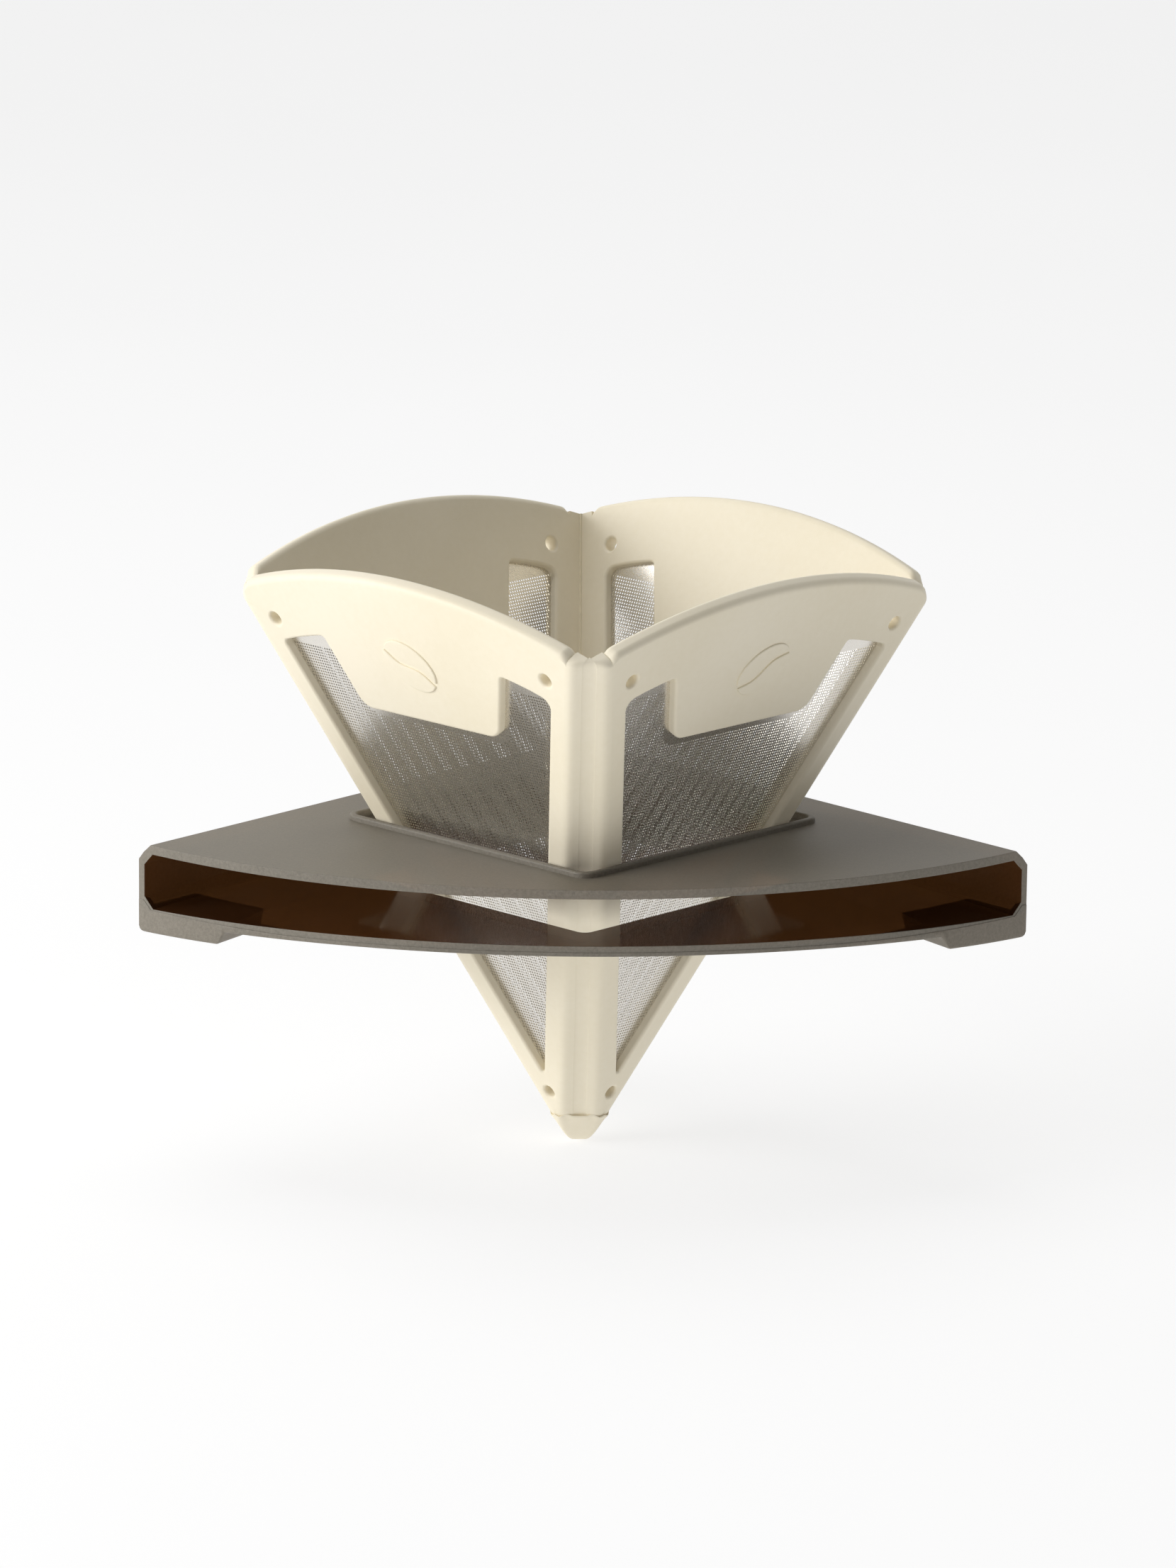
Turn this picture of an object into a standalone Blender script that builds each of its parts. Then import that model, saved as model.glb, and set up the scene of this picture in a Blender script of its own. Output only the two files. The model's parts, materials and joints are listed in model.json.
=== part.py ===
"""Folding pour-over strainer on a flat sector-shaped case.

An open four-sided cone (point down) stands in the square hole of a thin
hollow case.  Four moulded elastomer panels hold perforated steel plates and
meet at four creases that all pass through one point near the tip.  The front
and back creases open flat and the left and right creases fold shut, which
turns the cone into a flat sector that slides into the case through its
curved mouth.

Metres, +Z up.  The origin is the lowest point of the cone's tip, on the
cone's axis.  -Y is the front, where the mouth of the case is.
"""
import math

import bmesh
import bpy
from mathutils import Matrix, Vector

MM = 0.001

# ---- driving dimensions (millimetres and degrees) -------------------------
PANEL_ANGLE = 41.85      # between the two crease axes of one panel
PANEL_R = 105.0          # radius of the panels' top edge, about the crease point
H_IN = 0.3               # inner skin of a panel, outside the crease-axis plane
H_OUT = 3.1              # outer skin of a panel
WEB_OUT = 1.75           # outer skin at the crease axis, where the hinge bends
RAIL_EDGE = 1.6          # rail's outer edge from its crease axis
WINDOW_SIDE = 5.0        # window edge from the crease axis
WINDOW_TOP_R = 94.2      # window's top edge, about the crease point
TAB_SIDE = 14.9          # tab's side edge from the crease axis
TAB_LOW = 80.1           # tab's lower edge, along the panel's middle line
TIE_R = 98.0             # moulding holes, about the crease point
TIE_SIDE = 6.0           # moulding holes from the crease axis
TIE_D = 2.2
LOW_TIE_R = 10.75        # lowest moulding hole, on the middle line
LOW_TIE_D = 2.0
PLATE_IN, PLATE_OUT = 1.55, 1.85   # plate between these two skins
PLATE_EDGE_F = 3.2       # plate edge from the front or back crease axis
PLATE_EDGE_S = 4.4       # plate edge from the left or right crease axis
PLATE_TOP_R = 96.2
PLATE_LOW = 12.4
GAP = 0.3                # running gap between two neighbouring solids
LEAF_BAND = 7.35         # width of the side leaf at the top band
LEAF_FOOT = 2.3          # width of the side leaf beside the lowest hole

CREASE_POINT_Z = 0.25    # where all four crease axes meet
TIP_CUT = 5.3            # panels start this high
TIP_TOP = 5.0            # tip boot ends this high

CASE_TOP = 52.05         # upper face of the top wall
CASE_BOTTOM = 41.65      # lower face of the bottom wall
CASE_FOOT = 38.6        # underside of the two feet
TOP_WALL, BOTTOM_WALL, SIDE_WALL = 1.45, 1.6, 1.3
CASE_APEX_Y = 56.57      # centre of the mouth's arc
CASE_R = 100.25          # radius of the mouth's arc
CASE_HALF_ANGLE = 42.73
CASE_SIDE = 1.2          # outer side face, outside the ray through the centre
CASE_CHAMFER = 2.3
CASE_NOSE_R = 13.0       # rounded corner opposite the mouth
CAVITY_CHAMFER = 1.8
HOLE_HALF = 25.5         # square hole, half its side; its corners lie on X and Y
HOLE_CORNER_R = 1.5
RIM_W, RIM_H = 1.1, 0.9
FOOT_DEPTH = 11.0
FOOT_INNER_X = 55.0

A = math.radians(PANEL_ANGLE)
LEAN = math.asin(math.sqrt(2.0) * math.sin(A / 2))            # crease from vertical
HALF_DIHEDRAL = math.acos(math.tan(LEAN) / math.tan(A))


# ---- start clean ---------------------------------------------------------
for ob in list(bpy.data.objects):
    bpy.data.objects.remove(ob, do_unlink=True)


def material(name, rgb, rough, metal=0.0, alpha=1.0):
    m = bpy.data.materials.new(name)
    m.use_nodes = True
    bsdf = next(n for n in m.node_tree.nodes if n.type == 'BSDF_PRINCIPLED')
    bsdf.inputs['Base Color'].default_value = (*rgb, 1.0)
    bsdf.inputs['Roughness'].default_value = rough
    bsdf.inputs['Metallic'].default_value = metal
    bsdf.inputs['Alpha'].default_value = alpha
    return m


ELASTOMER = material('cream_elastomer', (0.86, 0.80, 0.66), 0.45)
STEEL = material('perforated_steel', (0.62, 0.60, 0.57), 0.35, 1.0)
SMOKE = material('smoky_plastic', (0.20, 0.18, 0.15), 0.55)


# ---- small helpers --------------------------------------------------------
def finish_mesh(name, bm, mat=None, matrix=None, smooth=35.0):
    """Turn a bmesh (in millimetres) into an object in metres."""
    bmesh.ops.remove_doubles(bm, verts=bm.verts, dist=1e-5)
    bmesh.ops.recalc_face_normals(bm, faces=bm.faces)
    if bm.calc_volume(signed=True) < 0:
        bmesh.ops.reverse_faces(bm, faces=bm.faces)
    bmesh.ops.scale(bm, vec=(MM, MM, MM), verts=bm.verts)
    me = bpy.data.meshes.new(name)
    bm.to_mesh(me)
    bm.free()
    ob = bpy.data.objects.new(name, me)
    bpy.context.scene.collection.objects.link(ob)
    if matrix is not None:
        ob.matrix_world = matrix
    if mat is not None:
        me.materials.append(mat)
    if smooth:
        me.shade_smooth()
        me.set_sharp_from_angle(angle=math.radians(smooth))
    return ob


def prism(bm, pts, z0, z1):
    """A closed prism over a simple polygon of (x, y) points."""
    lo = [bm.verts.new((x, y, z0)) for x, y in pts]
    hi = [bm.verts.new((x, y, z1)) for x, y in pts]
    bm.faces.new(list(reversed(lo)))
    bm.faces.new(hi)
    n = len(pts)
    for i in range(n):
        j = (i + 1) % n
        bm.faces.new((lo[i], lo[j], hi[j], hi[i]))


def loft(bm, rings):
    """A closed body through rings of (x, y, z) points, all of one length."""
    vs = [[bm.verts.new(p) for p in ring] for ring in rings]
    bm.faces.new(list(reversed(vs[0])))
    bm.faces.new(vs[-1])
    n = len(rings[0])
    for a, b in zip(vs, vs[1:]):
        for i in range(n):
            j = (i + 1) % n
            bm.faces.new((a[i], a[j], b[j], b[i]))


def boolean(ob, other, how, solver='EXACT'):
    """Apply one Boolean to ob and drop the tool."""
    mod = ob.modifiers.new(how.lower(), 'BOOLEAN')
    mod.operation = how
    mod.solver = solver
    mod.object = other
    bpy.context.view_layer.update()
    dg = bpy.context.evaluated_depsgraph_get()
    me = bpy.data.meshes.new_from_object(ob.evaluated_get(dg))
    ob.modifiers.clear()
    old = ob.data
    ob.data = me
    me.name = old.name
    bpy.data.meshes.remove(old)
    tool = other.data
    bpy.data.objects.remove(other, do_unlink=True)
    bpy.data.meshes.remove(tool)
    me.shade_smooth()
    me.set_sharp_from_angle(angle=math.radians(35.0))


def cut_below(ob, z_mm):
    """Cut a solid off at a height."""
    bm = bmesh.new()
    prism(bm, [(-31.3, -30.7), (30.9, -31.1), (31.2, 30.6), (-30.8, 31.4)], z_mm - 30, z_mm)
    boolean(ob, finish_mesh('below', bm), 'DIFFERENCE', 'MANIFOLD')


# ---- panel plane: (v, u), v towards the side crease, u up the middle line --
def on_crease(r, d, side):
    """Point at radius r and distance d from a crease; side -1 front/back, +1 left/right."""
    a = A / 2 - math.asin(d / r)
    return (side * r * math.sin(a), r * math.cos(a))


def at_u(u, d, side):
    """Point on the line at distance d from a crease, at height u on the middle line."""
    return (side * (u * math.tan(A / 2) - d / math.cos(A / 2)), u)


def arc(r, a0, a1, n):
    """Points on a circle about the crease point, angles from the middle line."""
    return [(r * math.sin(a0 + (a1 - a0) * i / n), r * math.cos(a0 + (a1 - a0) * i / n))
            for i in range(n + 1)]


def ang(p):
    return math.atan2(p[0], p[1])


def fillet(p0, p1, p2, r, n=4):
    """Round the corner p1 of the path p0-p1-p2."""
    a = Vector((p0[0] - p1[0], p0[1] - p1[1])).normalized()
    b = Vector((p2[0] - p1[0], p2[1] - p1[1])).normalized()
    half = math.acos(max(-1.0, min(1.0, a.dot(b)))) / 2
    t = r / math.tan(half)
    c = Vector(p1) + (a + b).normalized() * (r / math.sin(half))
    s, e = Vector(p1) + a * t - c, Vector(p1) + b * t - c
    sweep = s.angle_signed(e)
    out = []
    for i in range(n + 1):
        w = -sweep * i / n
        out.append((c.x + s.x * math.cos(w) - s.y * math.sin(w),
                    c.y + s.x * math.sin(w) + s.y * math.cos(w)))
    return out


def circle(cx, cy, r, n=14):
    return [(cx + r * math.cos(2 * math.pi * i / n), cy + r * math.sin(2 * math.pi * i / n))
            for i in range(n)]


def panel_matrix(sx, sy):
    """Local X, Y, Z = across the panel, up its middle line, outwards."""
    f = Vector((0, sy * math.sin(LEAN), math.cos(LEAN)))
    s = Vector((sx * math.sin(LEAN), 0, math.cos(LEAN)))
    u = (f + s).normalized()
    n = f.cross(s).normalized()
    if n.dot(Vector((sx, sy, 0))) < 0:
        n = -n
    x = u.cross(n)
    m = Matrix((x, u, n)).transposed().to_4x4()
    m.translation = Vector((0, 0, CREASE_POINT_Z * MM))
    flip = 1 if x.dot(s) > 0 else -1      # local X towards the side crease, or away
    return m, flip


def flipped(pts, flip):
    return [(flip * x, y) for x, y in pts]


def tab_path(back=False):
    """Tab outline from the side slit round its lower edge to the front slit."""
    top = WINDOW_TOP_R
    s_top = on_crease(top, TAB_SIDE, +1)
    f_top = on_crease(top, TAB_SIDE, -1)
    s_low = at_u(TAB_LOW, TAB_SIDE, +1)
    f_low = at_u(TAB_LOW, TAB_SIDE, -1)
    return [s_top] + fillet(s_top, s_low, f_low, 3.0) + fillet(s_low, f_low, f_top, 3.0) + [f_top]


def frame_outline():
    """The moulded frame of one panel, without its side leaf."""
    f_top = on_crease(PANEL_R - 0.6, RAIL_EDGE, -1)
    s_top = on_crease(PANEL_R, LEAF_BAND + GAP, +1)
    pts = [on_crease(5.2, RAIL_EDGE, -1), f_top]
    pts += arc(PANEL_R, ang(on_crease(PANEL_R, RAIL_EDGE + 0.8, -1)), ang(s_top), 22)
    s_win = on_crease(WINDOW_TOP_R, LEAF_BAND + GAP, +1)
    tab = tab_path()
    pts += [s_win]
    pts += arc(WINDOW_TOP_R, ang(s_win), ang(tab[0]), 2)[1:-1]
    pts += tab
    f_win = on_crease(WINDOW_TOP_R, WINDOW_SIDE, -1)
    pts += arc(WINDOW_TOP_R, ang(tab[-1]), ang(f_win), 3)[1:-1]
    v_low = (0.0, WINDOW_SIDE / math.sin(A / 2))
    pts += fillet(on_crease(WINDOW_TOP_R, WINDOW_SIDE + 2, -1), f_win, v_low, 1.6)
    pts += [v_low]
    pts += [on_crease(13.2, LEAF_FOOT + GAP, +1), on_crease(5.2, LEAF_FOOT + GAP, +1)]
    return pts


def leaf_outline():
    """The soft leaf beside a left or right crease, in the panel's plane."""
    s = +1
    pts = [on_crease(5.2, 0.9, s), on_crease(5.2, LEAF_FOOT, s), on_crease(13.0, LEAF_FOOT, s)]
    pts += [on_crease(14.6, WINDOW_SIDE, s)]
    win = on_crease(WINDOW_TOP_R, WINDOW_SIDE, s)
    pts += fillet(on_crease(20.0, WINDOW_SIDE, s), win, on_crease(WINDOW_TOP_R, LEAF_BAND, s), 1.2)
    pts += [on_crease(WINDOW_TOP_R, LEAF_BAND, s)]
    top = on_crease(PANEL_R, LEAF_BAND, s)
    pts += arc(PANEL_R, ang(top), ang(on_crease(PANEL_R, RAIL_EDGE + 0.8, s)), 3)
    pts += [on_crease(PANEL_R - 0.6, RAIL_EDGE, s), on_crease(PANEL_R - 1.0, 0.9, s)]
    # the outermost strip is only the web, which is added as its own prism
    out = []
    for p in pts:
        out.append(p)
    out[0] = on_crease(5.2, RAIL_EDGE, s)
    out[-1] = on_crease(PANEL_R - 1.0, RAIL_EDGE, s)
    return out


def plate_outline(grow=0.0):
    f, s = PLATE_EDGE_F - grow, PLATE_EDGE_S - grow
    top = PLATE_TOP_R + grow
    low = PLATE_LOW - grow
    a0, a1 = ang(on_crease(top, f, -1)), ang(on_crease(top, s, +1))
    pts = arc(top, a0, a1, 10)
    pts += [at_u(low + 1.6, s, +1), (at_u(low + 1.6, s, +1)[0] - 1.2, low)]
    pts += [(at_u(low + 1.6, f, -1)[0] + 1.2, low), at_u(low + 1.6, f, -1)]
    return pts


def from_outline(name, pts, z0, z1, m, flip, mat=None):
    bm = bmesh.new()
    prism(bm, flipped(pts, flip), z0, z1)
    bmesh.ops.triangulate(bm, faces=[f for f in bm.faces if len(f.verts) > 4])
    return finish_mesh(name, bm, mat, m)


def crease_prism(name, section, direction, across, out, r0, r1, mat=None):
    """Extrude a section of (across, out) points along a crease from r0 to r1."""
    bm = bmesh.new()
    rings = []
    for r in (r0, r1):
        rings.append([direction * r + across * a + out * o for a, o in section])
    loft(bm, rings)
    return finish_mesh(name, bm, mat, Matrix.Translation((0, 0, CREASE_POINT_Z * MM)))


# ---- four panels ----------------------------------------------------------
def build_panel(tag, sx, sy):
    m, flip = panel_matrix(sx, sy)

    plate = from_outline('filter_plate_' + tag, plate_outline(), PLATE_IN, PLATE_OUT, m, flip, STEEL)

    frame = from_outline('panel_frame_' + tag, frame_outline(), H_IN, H_OUT, m, flip, ELASTOMER)
    c = on_crease(TIE_R, TIE_SIDE, -1)
    boolean(frame, from_outline('hole', circle(c[0], c[1], TIE_D / 2), -2, 6, m, flip), 'DIFFERENCE', 'MANIFOLD')
    boolean(frame, from_outline('hole', circle(0, LOW_TIE_R, LOW_TIE_D / 2, 12), -2, 6, m, flip), 'DIFFERENCE', 'MANIFOLD')
    cut_below(frame, TIP_CUT)
    slot = from_outline('slot', plate_outline(GAP), PLATE_IN - GAP, PLATE_OUT + GAP, m, flip)
    boolean(frame, slot, 'DIFFERENCE', 'MANIFOLD')

    # side leaf: rail beside the left or right crease, with half of its web
    leaf = from_outline('crease_leaf_' + tag, leaf_outline(), H_IN, H_OUT, m, flip, ELASTOMER)
    s = Vector((sx * math.sin(LEAN), 0, math.cos(LEAN)))
    f = Vector((0, sy * math.sin(LEAN), math.cos(LEAN)))
    n = Vector(m.col[2][:3])
    across = (f - f.dot(s) * s).normalized()
    sn, cs = math.sin(HALF_DIHEDRAL), math.cos(HALF_DIHEDRAL)

    def mitre(h):
        return (GAP / 2 - h * cs) / sn
    flat = WEB_OUT * sn * sn       # where the flat between two hinges meets the mitre
    half_web = [(mitre(H_IN), H_IN), (mitre(flat), flat), (0.0, WEB_OUT), (RAIL_EDGE, H_OUT - 0.06),
                (RAIL_EDGE + 0.6, H_OUT - 0.06), (RAIL_EDGE + 0.6, H_IN)]
    web = crease_prism('half_web', half_web, s, across, n, 4.0, PANEL_R - 1.0)
    boolean(leaf, web, 'UNION', 'MANIFOLD')
    c = on_crease(TIE_R, TIE_SIDE, +1)
    boolean(leaf, from_outline('hole', circle(c[0], c[1], TIE_D / 2), -2, 6, m, flip), 'DIFFERENCE', 'MANIFOLD')
    cut_below(leaf, TIP_CUT)
    slot = from_outline('slot', plate_outline(GAP), PLATE_IN - GAP, PLATE_OUT + GAP, m, flip)
    boolean(leaf, slot, 'DIFFERENCE', 'MANIFOLD')
    return frame, plate, leaf


PANELS = {'front_left': (-1, -1), 'front_right': (1, -1), 'back_left': (-1, 1), 'back_right': (1, 1)}
for tag, (sx, sy) in PANELS.items():
    build_panel(tag, sx, sy)


# ---- front and back living hinges -----------------------------------------
def build_web(tag, sy):
    f = Vector((0, sy * math.sin(LEAN), math.cos(LEAN)))
    inward = Vector((0, -sy * math.cos(LEAN), math.sin(LEAN)))     # towards the cone's inside
    x = Vector((1, 0, 0))
    sn, cs = math.sin(HALF_DIHEDRAL), math.cos(HALF_DIHEDRAL)

    def pt(side, d, h):
        """In a panel's plane d from the crease, h outside it, as (x, outwards)."""
        return (side * (d * sn + h * cs), -(d * cs - h * sn))
    edge = RAIL_EDGE - GAP
    inner = pt(0, -H_IN * cs / sn, H_IN)
    side = WEB_OUT + (H_OUT - 0.06 - WEB_OUT) * edge / RAIL_EDGE
    section = [pt(-1, edge, H_IN), inner, pt(1, edge, H_IN), pt(1, edge, side), pt(1, 0, WEB_OUT),
               pt(-1, 0, WEB_OUT), pt(-1, edge, side)]
    web = crease_prism('crease_web_' + tag, section, f, x, -inward, 4.0, PANEL_R - 1.0, ELASTOMER)
    cut_below(web, TIP_CUT)
    return web


build_web('front', -1)
build_web('back', 1)


# ---- tip boot ---------------------------------------------------------------
def octagon(flat, diag, z, n=32, power=14.0):
    """Rounded octagon: flats across the four creases, long sides along the panels."""
    out = []
    for i in range(n):
        t = 2 * math.pi * (i + 0.5) / n
        c, s = abs(math.cos(t)), abs(math.sin(t))
        k = ((c / flat) ** power + (s / flat) ** power + ((c + s) / diag) ** power) ** (-1.0 / power)
        out.append(Vector((k * math.cos(t), k * math.sin(t), z)))
    return out


def build_boot():
    bm = bmesh.new()
    rings = []
    for z, grow in ((0.0, -0.75), (0.12, -0.3), (0.45, 0.0), (1.1, 0.15), (2.2, 0.25), (3.6, 0.32), (TIP_TOP, 0.4)):
        h = z - CREASE_POINT_Z
        flat = h * math.tan(LEAN) + 1.5 + grow
        diag = (H_OUT + 0.382 * h) / 0.653 + grow - max(0.0, 1.6 - z) * 0.8
        rings.append(octagon(flat, diag, z))
    loft(bm, rings)
    return finish_mesh('tip_boot', bm, ELASTOMER)


build_boot()


# ---- case ---------------------------------------------------------------------
B = math.radians(CASE_HALF_ANGLE)


def sector(z, side, radius, nose, n_arc=26, n_nose=8):
    """Outline of the case: side = offset of the side faces, nose = corner radius."""
    cy = CASE_APEX_Y
    # the side face meets the mouth's arc where the offset ray does
    t = math.sqrt(radius * radius - side * side)
    corner = Vector((math.sin(B) * t + math.cos(B) * side, cy - math.cos(B) * t + math.sin(B) * side))
    a0 = math.atan2(corner.x, cy - corner.y)
    pts = [Vector((radius * math.sin(-a0 + 2 * a0 * i / n_arc), cy - radius * math.cos(-a0 + 2 * a0 * i / n_arc), z))
           for i in range(n_arc + 1)]
    # rounded corner opposite the mouth, tangent to both side faces
    sharp_y = cy + side / math.sin(B)
    ccy = sharp_y - nose / math.sin(B)
    for i in range(n_nose + 1):
        w = B + (math.pi - 2 * B) * i / n_nose
        pts.append(Vector((nose * math.cos(w), ccy + nose * math.sin(w), z)))
    return pts


def square_ring(half, r, n=3):
    """A square with its corners on X and Y, rounded."""
    d = half * math.sqrt(2.0)
    corners = [(d, 0), (0, d), (-d, 0), (0, -d)]
    out = []
    for i in range(4):
        out += fillet(corners[i - 1], corners[i], corners[(i + 1) % 4], r, n)
    return out


def build_case():
    t, b, c = CASE_TOP, CASE_BOTTOM, CASE_CHAMFER
    bm = bmesh.new()
    loft(bm, [sector(b, CASE_SIDE - 1.4, CASE_R, CASE_NOSE_R - 1.4),
              sector(b + 1.4, CASE_SIDE, CASE_R, CASE_NOSE_R),
              sector(t - c, CASE_SIDE, CASE_R, CASE_NOSE_R),
              sector(t, CASE_SIDE - c, CASE_R, CASE_NOSE_R - c)])
    case = finish_mesh('case_sleeve', bm, SMOKE)

    # rim round the top hole, sunk a little into the wall so that the union is clean
    bm = bmesh.new()
    prism(bm, square_ring(HOLE_HALF + RIM_W, HOLE_CORNER_R + RIM_W), t - 0.7, t + RIM_H)
    boolean(case, finish_mesh('rim', bm), 'UNION')

    # two feet that follow the mouth's arc at its ends
    for side in (-1, 1):
        bm = bmesh.new()
        a1 = math.asin(FOOT_INNER_X / CASE_R)
        out = sector(0, CASE_SIDE, CASE_R, CASE_NOSE_R)
        a0 = math.atan2(out[26].x, CASE_APEX_Y - out[26].y)
        outer = [(side * CASE_R * math.sin(a1 + (a0 - a1) * i / 5), CASE_APEX_Y - CASE_R * math.cos(a1 + (a0 - a1) * i / 5))
                 for i in range(6)]
        r2 = CASE_R - FOOT_DEPTH
        t2 = math.sqrt(r2 * r2 - CASE_SIDE ** 2)
        end = (side * (math.sin(B) * t2 + math.cos(B) * CASE_SIDE), CASE_APEX_Y - math.cos(B) * t2 + math.sin(B) * CASE_SIDE)
        a2 = math.atan2(abs(end[0]), CASE_APEX_Y - end[1])
        a3 = math.asin((FOOT_INNER_X - 5.5) / r2)
        inner = [(side * r2 * math.sin(a2 + (a3 - a2) * i / 5), CASE_APEX_Y - r2 * math.cos(a2 + (a3 - a2) * i / 5))
                 for i in range(6)]
        prism(bm, outer + inner, CASE_FOOT, b + 1.0)
        foot = finish_mesh('foot', bm)
        boolean(case, foot, 'UNION')

    # the hollow, open at the mouth
    cz0, cz1 = b + BOTTOM_WALL, t - TOP_WALL
    si = CASE_SIDE - SIDE_WALL
    k = CAVITY_CHAMFER
    bm = bmesh.new()
    loft(bm, [sector(cz0, si - k, CASE_R + 6, CASE_NOSE_R - SIDE_WALL - k),
              sector(cz0 + k, si, CASE_R + 6, CASE_NOSE_R - SIDE_WALL),
              sector(cz1 - k, si, CASE_R + 6, CASE_NOSE_R - SIDE_WALL),
              sector(cz1, si - k, CASE_R + 6, CASE_NOSE_R - SIDE_WALL - k)])
    boolean(case, finish_mesh('hollow', bm), 'DIFFERENCE')

    # the square hole through both walls
    bm = bmesh.new()
    prism(bm, square_ring(HOLE_HALF, HOLE_CORNER_R), b - 5, t + 5)
    boolean(case, finish_mesh('hole', bm), 'DIFFERENCE')
    return case


build_case()
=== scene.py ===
"""Looks of the folding pour-over strainer on its sector-shaped case."""
import json
import math

import bmesh
import bpy
from mathutils import Matrix, Vector

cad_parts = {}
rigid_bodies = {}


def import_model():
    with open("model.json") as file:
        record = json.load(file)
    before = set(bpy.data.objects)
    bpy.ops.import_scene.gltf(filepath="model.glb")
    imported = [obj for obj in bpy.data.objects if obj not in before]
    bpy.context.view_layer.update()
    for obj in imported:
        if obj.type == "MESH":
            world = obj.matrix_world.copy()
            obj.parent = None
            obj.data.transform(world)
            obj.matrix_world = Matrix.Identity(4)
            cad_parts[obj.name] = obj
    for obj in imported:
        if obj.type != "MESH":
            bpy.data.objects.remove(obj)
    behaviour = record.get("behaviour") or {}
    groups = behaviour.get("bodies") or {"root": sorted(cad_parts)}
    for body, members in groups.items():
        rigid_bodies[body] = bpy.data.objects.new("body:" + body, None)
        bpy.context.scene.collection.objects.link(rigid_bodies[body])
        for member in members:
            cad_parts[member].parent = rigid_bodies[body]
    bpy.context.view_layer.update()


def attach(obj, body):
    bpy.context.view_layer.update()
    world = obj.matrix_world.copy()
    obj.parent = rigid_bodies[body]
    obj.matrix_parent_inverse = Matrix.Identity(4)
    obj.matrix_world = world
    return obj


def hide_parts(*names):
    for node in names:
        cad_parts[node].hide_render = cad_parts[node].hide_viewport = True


for ob in list(bpy.data.objects):
    bpy.data.objects.remove(ob, do_unlink=True)

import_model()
MM = 0.001

# ---- dimensions in millimetres, as in the CAD ------------------------------
PANEL_ANGLE, PANEL_R = 41.85, 105.0
H_IN, H_OUT, WEB_OUT = 0.3, 3.1, 1.6
EDGE = 0.5               # rounding of the elastomer's edges
WEB_H = 1.75             # outer skin over the crease axis, where the hinge bends
RAIL_EDGE, WINDOW_SIDE, WINDOW_TOP_R = 1.6, 5.0, 94.2
TAB_SIDE, TAB_LOW = 14.9, 80.1
TIE_R, TIE_SIDE, TIE_D = 98.0, 6.0, 2.2
LOW_TIE_R, LOW_TIE_D = 10.75, 2.0
FOIL_IN, FOIL_OUT = 1.66, 1.74       # the etched foil, in the middle of the CAD plate
PLATE_EDGE_F, PLATE_EDGE_S, PLATE_TOP_R, PLATE_LOW = 3.2, 4.4, 96.2, 12.4
CREASE_POINT_Z = 0.25
CASE_TOP, CASE_BOTTOM, CASE_FOOT = 52.05, 41.65, 38.6
TOP_WALL, BOTTOM_WALL, SIDE_WALL = 1.45, 1.6, 1.3
CASE_APEX_Y, CASE_R, CASE_HALF_ANGLE = 56.57, 100.25, 42.73
CASE_SIDE, CASE_CHAMFER, CASE_NOSE_R, CAVITY_CHAMFER = 1.2, 2.6, 13.0, 1.8
HOLE_HALF, HOLE_CORNER_R, RIM_W, RIM_H = 25.5, 1.5, 1.1, 0.9

A = math.radians(PANEL_ANGLE)
B = math.radians(CASE_HALF_ANGLE)
LEAN = math.asin(math.sqrt(2.0) * math.sin(A / 2))
HALF_DIHEDRAL = math.acos(math.tan(LEAN) / math.tan(A))
APEX = Vector((0, 0, CREASE_POINT_Z * MM))


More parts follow.
